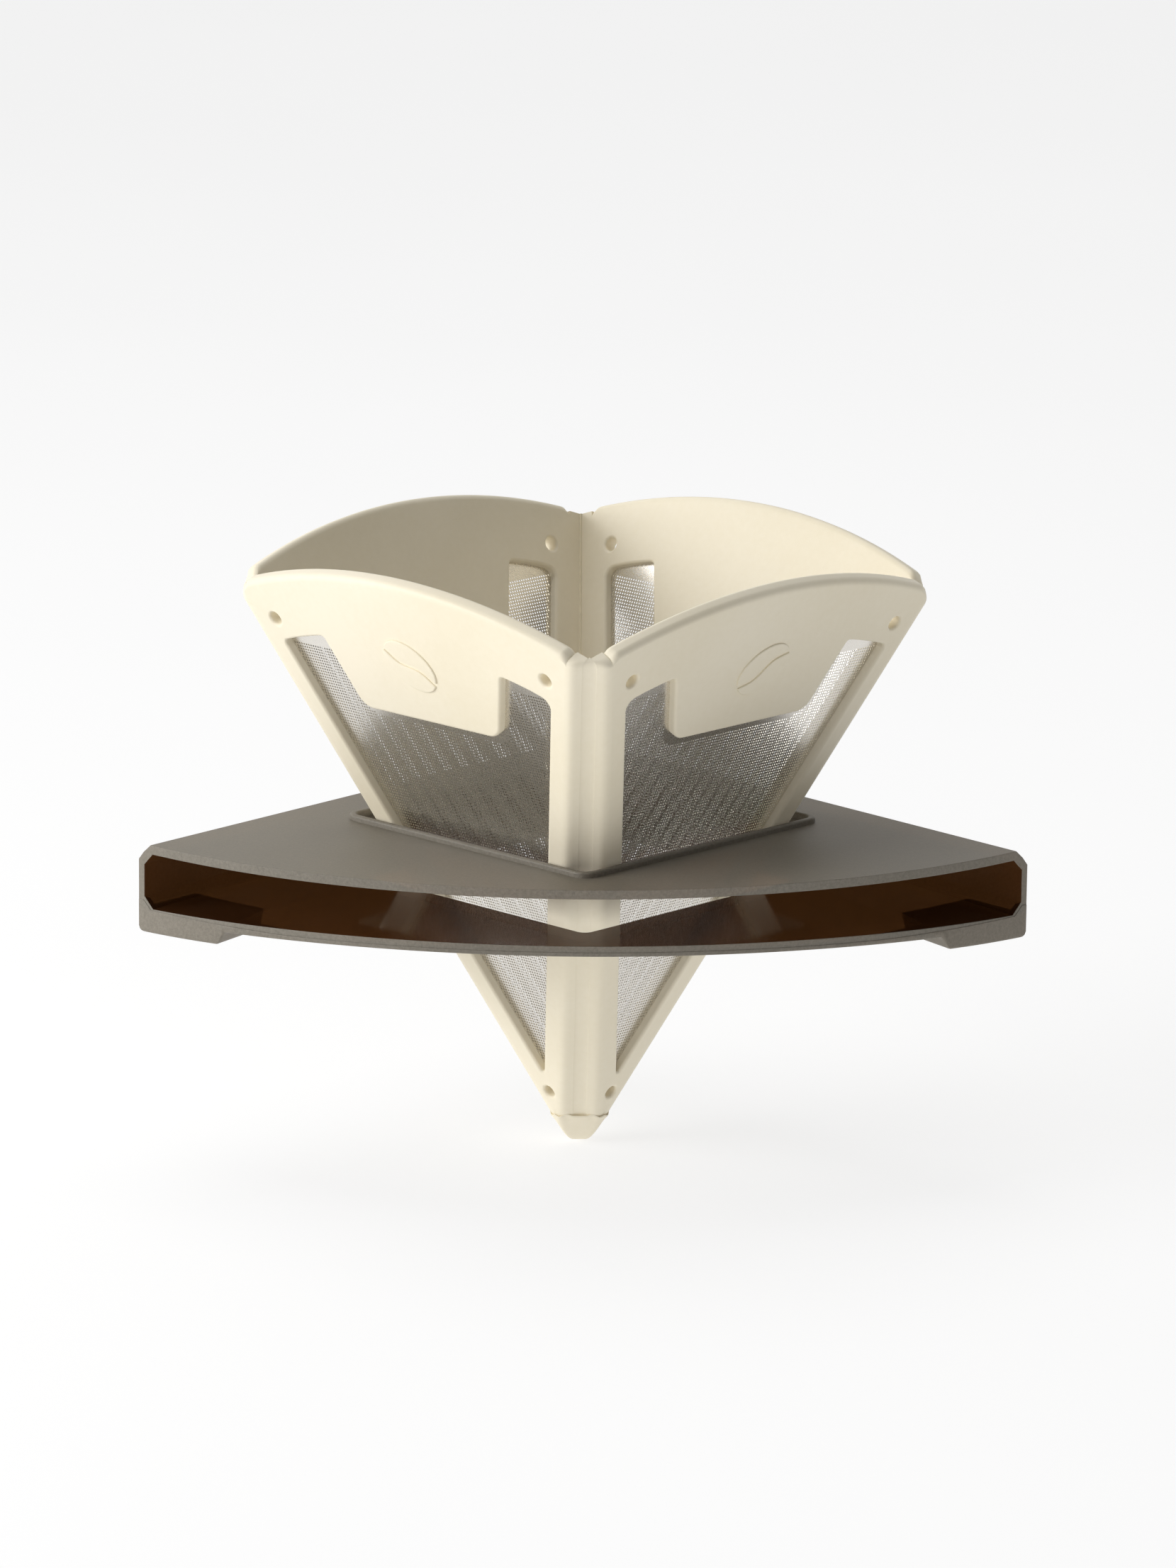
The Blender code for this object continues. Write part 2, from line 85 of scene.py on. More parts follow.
# ---- node helpers -------------------------------------------------------------
class Nodes:
    """Small wrapper that makes a material and links math nodes tersely."""

    def __init__(self, name):
        self.m = bpy.data.materials.new(name)
        self.m.use_nodes = True
        self.t = self.m.node_tree
        self.t.nodes.clear()
        self.out = self.t.nodes.new("ShaderNodeOutputMaterial")

    def put(self, socket, value):
        if isinstance(value, bpy.types.NodeSocket):
            self.t.links.new(value, socket)
        else:
            socket.default_value = value

    def node(self, kind, **props):
        n = self.t.nodes.new(kind)
        for k, v in props.items():
            setattr(n, k, v)
        return n

    def math(self, op, a, b=0.0, c=0.0, clamp=False):
        n = self.node("ShaderNodeMath", operation=op, use_clamp=clamp)
        self.put(n.inputs[0], a)
        self.put(n.inputs[1], b)
        self.put(n.inputs[2], c)
        return n.outputs[0]

    def bsdf(self, **kw):
        n = self.node("ShaderNodeBsdfPrincipled")
        for k, v in kw.items():
            self.put(n.inputs[k.replace("_", " ")], v)
        return n

    def noise(self, coord, scale, detail=3.0, rough=0.5):
        n = self.node("ShaderNodeTexNoise")
        self.put(n.inputs["Vector"], coord)
        n.inputs["Scale"].default_value = scale
        n.inputs["Detail"].default_value = detail
        n.inputs["Roughness"].default_value = rough
        return n.outputs["Fac"]

    def ramp(self, fac, stops):
        n = self.node("ShaderNodeValToRGB")
        self.put(n.inputs["Fac"], fac)
        e = n.color_ramp.elements
        while len(e) < len(stops):
            e.new(0.5)
        for el, (pos, col) in zip(e, stops):
            el.position = pos
            el.color = (*col, 1.0) if len(col) == 3 else col
        return n.outputs["Color"]

    def map(self, v, lo, hi, to_lo, to_hi, clamp=True):
        n = self.node("ShaderNodeMapRange", clamp=clamp)
        self.put(n.inputs["Value"], v)
        for i, x in zip((1, 2, 3, 4), (lo, hi, to_lo, to_hi)):
            n.inputs[i].default_value = x
        return n.outputs["Result"]

    def bump(self, height, strength, distance):
        n = self.node("ShaderNodeBump")
        n.inputs["Strength"].default_value = strength
        n.inputs["Distance"].default_value = distance
        self.put(n.inputs["Height"], height)
        return n.outputs["Normal"]

    def see_through(self, shader, share, tint):
        clear = self.node("ShaderNodeBsdfTransparent")
        clear.inputs["Color"].default_value = (*tint, 1.0)
        mix = self.node("ShaderNodeMixShader")
        mix.inputs["Fac"].default_value = share
        self.t.links.new(shader, mix.inputs[1])
        self.t.links.new(clear.outputs[0], mix.inputs[2])
        return mix.outputs[0]

    def coords(self):
        return self.node("ShaderNodeTexCoord").outputs["Object"]

    def surface(self, shader):
        self.t.links.new(shader, self.out.inputs["Surface"])
        return self.m


def srgb(h):
    """Linear colour of a hex sRGB value."""
    c = [int(h[i:i + 2], 16) / 255 for i in (0, 2, 4)]
    return tuple(x / 12.92 if x <= 0.04045 else ((x + 0.055) / 1.055) ** 2.4 for x in c)


def elastomer_material(name="cream_elastomer", light="f2e9d3", dark="ede3ca"):
    n = Nodes(name)
    co = n.coords()
    broad = n.noise(co, 38.0, 2.0)
    fine = n.noise(co, 2600.0, 2.0, 0.6)
    speck = n.noise(co, 900.0, 3.0, 0.6)
    colour = n.ramp(n.math("ADD", n.math("MULTIPLY", broad, 0.7), n.math("MULTIPLY", speck, 0.3)),
                    [(0.35, srgb(dark)), (0.65, srgb(light))])
    rough = n.map(n.math("ADD", n.math("MULTIPLY", fine, 0.6), n.math("MULTIPLY", broad, 0.4)),
                  0.3, 0.7, 0.40, 0.56)
    p = n.bsdf(Base_Color=colour, Roughness=rough)
    p.inputs["IOR"].default_value = 1.42
    p.inputs["Sheen Weight"].default_value = 0.08
    p.inputs["Sheen Roughness"].default_value = 0.5
    n.put(p.inputs["Normal"], n.bump(fine, 0.16, 0.00004))
    return n.surface(p.outputs[0])


def steel_material():
    """Thin sheet with a close square grid of etched holes, plain at its margins."""
    n = Nodes("filter_steel")
    co = n.coords()
    sep = n.node("ShaderNodeSeparateXYZ")
    n.put(sep.inputs[0], co)
    x, y = n.math("MULTIPLY", sep.outputs[0], 1000.0), n.math("MULTIPLY", sep.outputs[1], 1000.0)
    pitch, hole_r = 0.51, 0.156
    ox = n.math("WRAP", x, pitch / 2, -pitch / 2)
    oy = n.math("WRAP", y, pitch / 2, -pitch / 2)
    d2 = n.math("ADD", n.math("MULTIPLY", ox, ox), n.math("MULTIPLY", oy, oy))
    # the hole's centre, and its distance from the nearer crease
    cx = n.math("ABSOLUTE", n.math("SUBTRACT", x, ox))
    cy = n.math("SUBTRACT", y, oy)
    d = n.math("SUBTRACT", n.math("MULTIPLY", cy, math.sin(A / 2)), n.math("MULTIPLY", cx, math.cos(A / 2)))
    low_enough = n.math("LESS_THAN", cy, 88.95)
    high_enough = n.math("GREATER_THAN", cy, 15.6)
    inside = n.math("GREATER_THAN", d, WINDOW_SIDE + 0.35)
    past_side, past_low = n.math("SUBTRACT", d, TAB_SIDE - 0.95), n.math("SUBTRACT", cy, TAB_LOW - 1.95)
    by_tab = n.math("MULTIPLY", n.math("GREATER_THAN", n.math("MINIMUM", past_side, past_low), 0.0),
                    n.math("GREATER_THAN", n.math("ADD", past_side, past_low), 1.25))
    field = n.math("MULTIPLY", n.math("MULTIPLY", low_enough, high_enough),
                   n.math("MULTIPLY", inside, n.math("SUBTRACT", 1.0, by_tab)))
    hole = n.math("MULTIPLY", n.math("LESS_THAN", d2, hole_r * hole_r), field)
    # a soft darker ring of painted shade where the etched edge rolls into each hole
    edge = n.math("MULTIPLY", n.map(d2, (hole_r + 0.045) ** 2, hole_r ** 2, 0.0, 1.0), field)
    grain = n.noise(co, 5200.0, 2.0, 0.7)
    cloud = n.noise(co, 90.0, 2.0)
    both = n.math("ADD", n.math("MULTIPLY", grain, 0.6), n.math("MULTIPLY", cloud, 0.4))
    # the painted shade ring pulls the steel's colour towards a dark grey at each hole's rim
    colour = n.node("ShaderNodeMix", data_type="RGBA", blend_type="MULTIPLY")
    n.put(colour.inputs["Factor"], n.math("MULTIPLY", edge, 0.16))
    n.put(colour.inputs["A"], n.ramp(both, [(0.3, srgb("e0dcd5")), (0.7, srgb("e9e5de"))]))
    colour.inputs["B"].default_value = (*srgb("6a655d"), 1.0)
    p = n.bsdf(Base_Color=colour.outputs["Result"], Roughness=n.map(grain, 0.3, 0.7, 0.24, 0.30))
    p.inputs["Metallic"].default_value = 1.0
    n.put(p.inputs["Alpha"], n.math("SUBTRACT", 1.0, hole))
    return n.surface(p.outputs[0])


def case_outside():
    n = Nodes("smoky_plastic")
    co = n.coords()
    grain = n.noise(co, 2100.0, 3.0, 0.65)
    fleck = n.noise(co, 4300.0, 2.0, 0.6)
    broad = n.noise(co, 22.0, 2.0)
    mix = n.math("ADD", n.math("MULTIPLY", grain, 0.5),
                 n.math("ADD", n.math("MULTIPLY", fleck, 0.25), n.math("MULTIPLY", broad, 0.25)))
    colour = n.ramp(mix, [(0.34, srgb("756f63")), (0.66, srgb("918b7f"))])
    p = n.bsdf(Base_Color=colour, Roughness=n.map(grain, 0.3, 0.7, 0.46, 0.62))
    p.inputs["IOR"].default_value = 1.49
    n.put(p.inputs["Normal"], n.bump(n.math("ADD", grain, n.math("MULTIPLY", fleck, 0.6)), 0.15, 0.00005))
    return n.surface(n.see_through(p.outputs[0], 0.13, (0.70, 0.50, 0.34)))


def case_inside():
    n = Nodes("smoky_plastic_inside")
    co = n.coords()
    soft = n.noise(co, 60.0, 2.0)
    fine = n.noise(co, 1500.0, 2.0)
    colour = n.ramp(soft, [(0.3, srgb("3a2415")), (0.7, srgb("442a19"))])
    p = n.bsdf(Base_Color=colour, Roughness=n.map(n.math("ADD", n.math("MULTIPLY", soft, 0.5), n.math("MULTIPLY", fine, 0.5)),
                                                  0.3, 0.7, 0.06, 0.11))
    p.inputs["IOR"].default_value = 1.49
    n.put(p.inputs["Normal"], n.bump(soft, 0.05, 0.0002))
    return n.surface(n.see_through(p.outputs[0], 0.30, (0.80, 0.45, 0.20)))


ELASTOMER = elastomer_material()
STEEL = steel_material()
SMOKE = case_outside()
SMOKE_IN = case_inside()


# ---- mesh helpers ---------------------------------------------------------------
def on_crease(r, d, side):
    a = A / 2 - math.asin(d / r)
    return (side * r * math.sin(a), r * math.cos(a))


def at_u(u, d, side):
    return (side * (u * math.tan(A / 2) - d / math.cos(A / 2)), u)


def arc(r, a0, a1, n):
    return [(r * math.sin(a0 + (a1 - a0) * i / n), r * math.cos(a0 + (a1 - a0) * i / n))
            for i in range(n + 1)]


def ang(p):
    return math.atan2(p[0], p[1])


def fillet(p0, p1, p2, r, n=6):
    a = Vector((p0[0] - p1[0], p0[1] - p1[1])).normalized()
    b = Vector((p2[0] - p1[0], p2[1] - p1[1])).normalized()
    half = math.acos(max(-1.0, min(1.0, a.dot(b)))) / 2
    t = r / math.tan(half)
    c = Vector(p1) + (a + b).normalized() * (r / math.sin(half))
    s, e = Vector(p1) + a * t - c, Vector(p1) + b * t - c
    sweep = s.angle_signed(e)
    out = []
    for i in range(n + 1):
        w = -sweep * i / n
        out.append((c.x + s.x * math.cos(w) - s.y * math.sin(w),
                    c.y + s.x * math.sin(w) + s.y * math.cos(w)))
    return out


def circle(cx, cy, r, n=28):
    return [(cx + r * math.cos(2 * math.pi * i / n), cy + r * math.sin(2 * math.pi * i / n))
            for i in range(n)]


def panel_matrix(sx, sy):
    f = Vector((0, sy * math.sin(LEAN), math.cos(LEAN)))
    s = Vector((sx * math.sin(LEAN), 0, math.cos(LEAN)))
    u = (f + s).normalized()
    n = f.cross(s).normalized()
    if n.dot(Vector((sx, sy, 0))) < 0:
        n = -n
    x = u.cross(n)
    m = Matrix((x, u, n)).transposed().to_4x4()
    m.translation = APEX
    return m, (1 if x.dot(s) > 0 else -1)


def to_object(name, bm, mats, matrix=None, merge=1e-5):
    """bmesh in millimetres to a shaded object in metres."""
    bmesh.ops.remove_doubles(bm, verts=bm.verts, dist=merge)
    bmesh.ops.recalc_face_normals(bm, faces=bm.faces)
    bmesh.ops.scale(bm, vec=(MM, MM, MM), verts=bm.verts)
    me = bpy.data.meshes.new(name)
    bm.to_mesh(me)
    bm.free()
    for m in mats:
        me.materials.append(m)
    ob = bpy.data.objects.new(name, me)
    bpy.context.scene.collection.objects.link(ob)
    if matrix is not None:
        ob.matrix_world = matrix
    return ob


def slab(name, outer, holes, z0, z1, bevel, mats, matrix=None, res=3):
    """A plate between two heights with its edges rounded, holes and all."""
    cu = bpy.data.curves.new(name, "CURVE")
    cu.dimensions = "2D"
    cu.fill_mode = "BOTH"
    cu.extrude = (z1 - z0) / 2 - bevel
    cu.bevel_depth = bevel
    cu.bevel_resolution = res
    cu.offset = -bevel
    for pts in [outer] + holes:
        sp = cu.splines.new("POLY")
        sp.points.add(len(pts) - 1)
        for p, (x, y) in zip(sp.points, pts):
            p.co = (x, y, 0, 1)
        sp.use_cyclic_u = True
    tmp = bpy.data.objects.new(name, cu)
    bpy.context.scene.collection.objects.link(tmp)
    bpy.context.view_layer.update()
    me = bpy.data.meshes.new_from_object(tmp.evaluated_get(bpy.context.evaluated_depsgraph_get()))
    bm = bmesh.new()
    bm.from_mesh(me)
    bpy.data.objects.remove(tmp, do_unlink=True)
    bpy.data.curves.remove(cu)
    bpy.data.meshes.remove(me)
    bmesh.ops.translate(bm, vec=(0, 0, (z0 + z1) / 2), verts=bm.verts)
    for f in bm.faces:
        f.material_index = 0
    return to_object(name, bm, mats, matrix, merge=1e-4)


def loft(bm, rings, caps=True, index=0):
    vs = [[bm.verts.new(p) for p in ring] for ring in rings]
    if caps:
        bm.faces.new(list(reversed(vs[0]))).material_index = index
        bm.faces.new(vs[-1]).material_index = index
    n = len(rings[0])
    for a, b in zip(vs, vs[1:]):
        for i in range(n):
            j = (i + 1) % n
            bm.faces.new((a[i], a[j], b[j], b[i])).material_index = index


def prism(bm, pts, z0, z1, index=0):
    loft(bm, [[(x, y, z0) for x, y in pts], [(x, y, z1) for x, y in pts]], True, index)


def join(name, parts):
    """Join objects into one, in the first one's frame."""
    bpy.context.view_layer.update()
    first = parts[0]
    inv = first.matrix_world.inverted()
    bm = bmesh.new()
    bm.from_mesh(first.data)
    mats = list(first.data.materials)
    for p in parts[1:]:
        me = p.data.copy()
        me.transform(inv @ p.matrix_world)
        remap = []
        for m in me.materials:
            if m not in mats:
                mats.append(m)
            remap.append(mats.index(m))
        start = len(bm.faces)
        bm.from_mesh(me)
        bm.faces.ensure_lookup_table()
        for f in bm.faces[start:]:
            f.material_index = remap[f.material_index] if remap else 0
        bpy.data.meshes.remove(me)
        bpy.data.objects.remove(p, do_unlink=True)
    me = bpy.data.meshes.new(name)
    bm.to_mesh(me)
    bm.free()
    for m in mats:
        me.materials.append(m)
    first.data = me
    first.name = name
    return first


def shade(ob, angle=38.0):
    ob.data.shade_smooth()
    ob.data.set_sharp_from_angle(angle=math.radians(angle))
    mod = ob.modifiers.new("weighted", "WEIGHTED_NORMAL")
    mod.keep_sharp = True
    mod.mode = "FACE_AREA"
    bake(ob)
    return ob


def bake(ob):
    """Apply an object's modifiers."""
    bpy.context.view_layer.update()
    me = bpy.data.meshes.new_from_object(ob.evaluated_get(bpy.context.evaluated_depsgraph_get()))
    ob.modifiers.clear()
    ob.data = me


def settle(ob):
    """Put an object's place into its vertices."""
    ob.data.transform(ob.matrix_world)
    ob.matrix_world = Matrix.Identity(4)


def boolean(ob, other, how, solver="EXACT"):
    mod = ob.modifiers.new(how.lower(), "BOOLEAN")
    mod.operation = how
    mod.solver = solver
    mod.object = other
    mod.material_mode = "TRANSFER"
    bake(ob)
    bpy.data.objects.remove(other, do_unlink=True)


# ---- panels --------------------------------------------------------------------
SIDE_END, FRONT_END = (1.15, 1.7, 0.35), (0.75, 1.1, 0.45)     # set back, length, end share


def end_rings(r0, end):
    """Radii and height shares of the sections along a crease, its far end rounded over."""
    back, length, share = end
    r1 = PANEL_R - back
    out = [(r0, 1.0), (r0 + 0.4 * (r1 - r0), 1.0)]
    for q in (1.0, 0.8, 0.6, 0.42, 0.27, 0.15, 0.06, 0.0):
        out.append((r1 - q * length, share + (1.0 - share) * math.sqrt(1.0 - (1.0 - q) ** 2)))
    return out


def crease_prism(name, section, direction, across, out, r0, end, mat):
    """Run a section of (across, out) points along a crease."""
    bm = bmesh.new()
    rings = []
    for r, share in end_rings(r0, end):
        rings.append([direction * r + across * a + out * (o if o <= H_IN else max(H_IN + 0.05, o * share))
                      for a, o in section])
    loft(bm, rings)
    return to_object(name, bm, [mat], Matrix.Translation(APEX))


def bead(name, direction, start, stop, r0, end, mat, sink=0.0):
    """The outer face of a crease, between two panels' normals, with its shallow groove."""
    a, b = start.normalized(), stop.normalized()
    mid = (a + b).normalized()
    wide = (b - a).normalized()
    half = math.sin(a.angle(b) / 2) * (WEB_H - sink)
    high = math.cos(a.angle(b) / 2) * (WEB_H - sink)
    prof = [(-half, high), (-0.75 * half, high - 0.06), (-0.4 * half, high - 0.10), (0.0, high - 0.11),
            (0.4 * half, high - 0.10), (0.75 * half, high - 0.06), (half, high)]
    bm = bmesh.new()
    rings = []
    for r, share in end_rings(r0, end):
        rings.append([direction * r] + [direction * r + wide * (x * share) + mid * (w * share) for x, w in prof])
    loft(bm, rings)
    return to_object(name, bm, [mat], Matrix.Translation(APEX))


def neighbour_normal(sx, sy):
    """Normal of the panel across the left or right crease."""
    return Vector(panel_matrix(sx, -sy)[0].col[2][:3])


def rail_outline():
    low_f, low_s = on_crease(5.3, RAIL_EDGE, -1), on_crease(5.3, RAIL_EDGE, +1)

    def corner(side, k):
        """The rounded outer corner, from the crease side up to the arc."""
        return [on_crease(PANEL_R - b * k, RAIL_EDGE + d * k, side)
                for b, d in ((1.8, 0.0), (1.15, 0.10), (0.62, 0.40), (0.26, 0.85), (0.05, 1.45))]
    f_side, s_side = corner(-1, 1.0), corner(+1, 1.35)
    pts = [low_f, on_crease(60, RAIL_EDGE, -1)] + f_side
    pts += arc(PANEL_R, ang(on_crease(PANEL_R, RAIL_EDGE + 2.0, -1)), ang(on_crease(PANEL_R, RAIL_EDGE + 2.7, +1)), 48)
    pts += list(reversed(s_side)) + [on_crease(60, RAIL_EDGE, +1), low_s]
    return pts


def soften_top(ob, more=1.1):
    """Widen the rounding of a panel's top edge, fading out towards the creases' ends."""
    for v in ob.data.vertices:
        x, y, h = v.co.x / MM, v.co.y / MM, v.co.z / MM
        r = math.hypot(x, y)
        t = PANEL_R - r
        if t > 2.5:
            continue
        w = 1.0 if t <= EDGE else 1.0 - (t - EDGE) / (2.5 - EDGE)
        shift = more * (t if t <= EDGE else EDGE * w)
        if h > (H_IN + H_OUT) / 2:
            h -= more * max(0.0, min(EDGE, H_OUT - h)) * w
        else:
            h += 0.7 * more * max(0.0, min(EDGE, h - H_IN)) * w
        k = (r - shift) / r
        v.co = (x * k * MM, y * k * MM, h * MM)


def window_outline(grow=0.0):
    """The window with the tab hanging into it."""
    w = WINDOW_SIDE - grow
    top = WINDOW_TOP_R + grow
    ts, tl = TAB_SIDE - grow, TAB_LOW - grow
    s_top, f_top = on_crease(top, ts, +1), on_crease(top, ts, -1)
    s_low, f_low = at_u(tl, ts, +1), at_u(tl, ts, -1)
    s_win, f_win = on_crease(top, w, +1), on_crease(top, w, -1)
    low = (0.0, w / math.sin(A / 2))
    pts = fillet(low, s_win, s_top, 0.9)
    pts += arc(top, ang(on_crease(top, w + 1.6, 1)), ang(s_top), 5)[1:-1]
    pts += fillet(s_win, s_top, s_low, 0.7, 3)
    pts += fillet(s_top, s_low, f_low, 3.0, 8)
    pts += fillet(s_low, f_low, f_top, 3.0, 8)
    pts += fillet(f_low, f_top, f_win, 0.7, 3)
    pts += arc(top, ang(f_top), ang(on_crease(top, w + 2.4, -1)), 5)[1:-1]
    pts += fillet(f_top, f_win, low, 1.7)
    pts += fillet(f_win, low, s_win, 0.35, 3)
    return pts


def flipped(pts, flip):
    return [(flip * x, y) for x, y in pts]


def relief(flip):
    """A plain raised bean on the tab: two halves with a curved furrow."""
    cx, cy, rx, ry, tilt = 0.6 * flip, 90.4, 5.4, 3.9, math.radians(28 * flip)
    halves = []
    for sgn in (-1, 1):
        pts = []
        n = 26
        for i in range(n + 1):
            t = math.pi * i / n
            pts.append((rx * math.cos(t), sgn * (ry * math.sin(t) ** 0.9 if math.sin(t) > 0 else 0.0)))
        # the furrow: an S along the long axis
        for i in range(1, 16):
            s = -1 + 2 * i / 16
            pts.append((rx * s * 0.985, sgn * 0.32 + 0.62 * math.sin(math.pi * s) * (1 - s * s) ** 0.5))
        pts[0] = (rx * 0.985, sgn * 0.32)
        pts[n] = (-rx * 0.985, sgn * 0.32)
        c, s_ = math.cos(tilt), math.sin(tilt)
        halves.append([(cx + x * c - y * s_, cy + x * s_ + y * c) for x, y in pts])
    return halves


PANELS = {"front_left": (-1, -1), "front_right": (1, -1), "back_left": (-1, 1), "back_right": (1, 1)}


def build_panel(tag, sx, sy):
    m, flip = panel_matrix(sx, sy)
    c_f, c_s = on_crease(TIE_R, TIE_SIDE, -1), on_crease(TIE_R, TIE_SIDE, +1)
    holes = [window_outline(), circle(*c_f, TIE_D / 2), circle(*c_s, TIE_D / 2),
             circle(0, LOW_TIE_R, LOW_TIE_D / 2)]
    body = slab("elastomer_" + tag, flipped(rail_outline(), flip), [flipped(h, flip) for h in holes],
                H_IN, H_OUT, EDGE, [ELASTOMER], m, res=5)
    soften_top(body)
    # half webs out to the crease axes
    f = Vector((0, sy * math.sin(LEAN), math.cos(LEAN)))
    s = Vector((sx * math.sin(LEAN), 0, math.cos(LEAN)))
    n = Vector(m.col[2][:3])
    parts = [body]
    for this, that, is_side in ((f, s, False), (s, f, True)):
        across = (that - that.dot(this) * this).normalized()
        section = [(-0.05, H_IN), (-0.05, WEB_H - 0.02), (0.25, 2.05), (0.53, 2.40), (0.9, 2.75), (1.3, 2.96), (1.7, 3.065),
                   (RAIL_EDGE + EDGE, H_OUT), (RAIL_EDGE + EDGE + 0.05, 2.0), (RAIL_EDGE + EDGE, H_IN)]
        parts.append(crease_prism("web", section, this, across, n, 5.3,
                                  SIDE_END if is_side else FRONT_END, ELASTOMER))
        if is_side:
            # each side carries its share, so that the crease is also closed when folded
            that_n = neighbour_normal(sx, sy)
            parts.append(bead("bead", this, n, that_n, 5.3, SIDE_END, ELASTOMER, 0.0 if sy < 0 else 0.07))
    for half in relief(flip) if sy < 0 else []:
        parts.append(slab("mark", half, [], H_OUT - 0.3, H_OUT + 0.28, 0.2, [ELASTOMER], m, res=3))
    if tag == "back_left":
        dash = [(-9.5, 84.6), (1.5, 84.6), (1.5, 85.2), (-9.5, 85.2)]
        parts.append(slab("dash", flipped(dash, flip), [], H_IN - 0.22, H_IN + 0.3, 0.12, [ELASTOMER], m))
    body = join("elastomer_" + tag, parts)
    settle(body)
    shade(body)
    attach(body, "panel_" + tag)
    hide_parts("panel_frame_" + tag, "crease_leaf_" + tag)

    a0, a1 = ang(on_crease(PLATE_TOP_R, PLATE_EDGE_F, -1)), ang(on_crease(PLATE_TOP_R, PLATE_EDGE_S, +1))
    pts = arc(PLATE_TOP_R, a0, a1, 20)
    lo_s, lo_f = at_u(PLATE_LOW + 1.6, PLATE_EDGE_S, +1), at_u(PLATE_LOW + 1.6, PLATE_EDGE_F, -1)
    pts += [lo_s, (lo_s[0] - 1.2, PLATE_LOW), (lo_f[0] + 1.2, PLATE_LOW), lo_f]
    plate = slab("steel_" + tag, flipped(pts, flip), [], FOIL_IN, FOIL_OUT, 0.0, [STEEL], m)
    shade(plate)
    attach(plate, "panel_" + tag)
    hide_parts("filter_plate_" + tag)


for tag, (sx, sy) in PANELS.items():
    build_panel(tag, sx, sy)


def build_front_bead(tag, sy):
    f = Vector((0, sy * math.sin(LEAN), math.cos(LEAN)))
    n1 = Vector(panel_matrix(-1, sy)[0].col[2][:3])
    n2 = Vector(panel_matrix(1, sy)[0].col[2][:3])
    ob = bead("crease_bead_" + tag, f, n1, n2, 5.3, FRONT_END, ELASTOMER)
    settle(ob)
    shade(ob)
    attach(ob, "crease_" + tag)
    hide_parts("crease_web_" + tag)


build_front_bead("front", -1)
build_front_bead("back", 1)


# ---- tip boot -------------------------------------------------------------------
def octagon(flat, diag, z, n=96, power=18.0, lips=0.0):
    """Rounded octagon, its flats across the creases, its long sides along the panels."""
    out = []
    for i in range(n):
        t = 2 * math.pi * i / n
        c, s = abs(math.cos(t)), abs(math.sin(t))
        k = ((c / flat) ** power + (s / flat) ** power + ((c + s) / diag) ** power) ** (-1.0 / power)
        w = (math.degrees(t) + 45) % 90 - 45            # from the nearest crease
        lip = math.exp(-((abs(w) - 24) / 7.0) ** 2) - 0.7 * math.exp(-((abs(w) - 36) / 5.0) ** 2)
        out.append(Vector((k * math.cos(t), k * math.sin(t), z + lips * lip)))
    return out


def build_boot():
    bm = bmesh.new()
    rings = []
    for z, grow, lips in ((0.0, -0.95, 0), (0.04, -0.55, 0), (0.16, -0.25, 0), (0.42, -0.02, 0), (0.85, 0.12, 0),
                          (1.5, 0.2, 0), (2.4, 0.24, 0), (3.4, 0.28, 0), (4.1, 0.34, 0.1), (4.6, 0.46, 0.25),
                          (4.85, 0.5, 0.33), (4.98, 0.38, 0.34), (5.0, -0.1, 0.3)):
        h = z - CREASE_POINT_Z
        flat = h * math.tan(LEAN) + 1.5 + grow
        diag = (H_OUT + 0.382 * h) / 0.653 + grow - max(0.0, 1.7 - z) * 0.85
        rings.append(octagon(flat, diag, z, lips=lips))
    loft(bm, rings)
    ob = shade(to_object("tip_cap", bm, [ELASTOMER]), 60)
    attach(ob, "filter_core")
    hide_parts("tip_boot")


build_boot()


# ---- case -------------------------------------------------------------------------
def sector(z, side, radius, nose, n_arc=84, n_nose=28):
    cy = CASE_APEX_Y
    t = math.sqrt(radius * radius - side * side)
    corner = Vector((math.sin(B) * t + math.cos(B) * side, cy - math.cos(B) * t + math.sin(B) * side))
    a0 = math.atan2(corner.x, cy - corner.y)
    pts = [Vector((radius * math.sin(-a0 + 2 * a0 * i / n_arc), cy - radius * math.cos(-a0 + 2 * a0 * i / n_arc), z))
           for i in range(n_arc + 1)]
    ccy = cy + side / math.sin(B) - nose / math.sin(B)
    for i in range(n_nose + 1):
        w = B + (math.pi - 2 * B) * i / n_nose
        pts.append(Vector((nose * math.cos(w), ccy + nose * math.sin(w), z)))
    return pts


def square_ring(half, r, n=6):
    d = half * math.sqrt(2.0)
    corners = [(d, 0), (0, d), (-d, 0), (0, -d)]
    out = []
    for i in range(4):
        out += fillet(corners[i - 1], corners[i], corners[(i + 1) % 4], r, n)
    return out


APRON_END = 68.88


def apron_depth(x):
    """How far the mouth's underside hangs below the bottom wall."""
    x = abs(x)
    d = 1.06 * (min(x, 54.0) / 54.0) ** 2.6
    foot = CASE_BOTTOM - CASE_FOOT
    if x > 54.7:
        t = min(1.0, (x - 54.7) / 2.3)
        d += (foot - 0.86) * (t * t * t * (10 - 15 * t + 6 * t * t)) + 0.5 * max(0.0, x - 57.0) / 11.0
    if x > APRON_END - 0.7:
        t = min(1.0, (x - APRON_END + 0.7) / 0.7)
        d -= 0.6 * (1.0 - math.sqrt(1.0 - t * t))
    return d


def floor_drop(x):
    """How far the cavity's floor bows down towards the two ends of the mouth."""
    return 1.38 * (min(abs(x), 67.0) / 67.0) ** 2.3


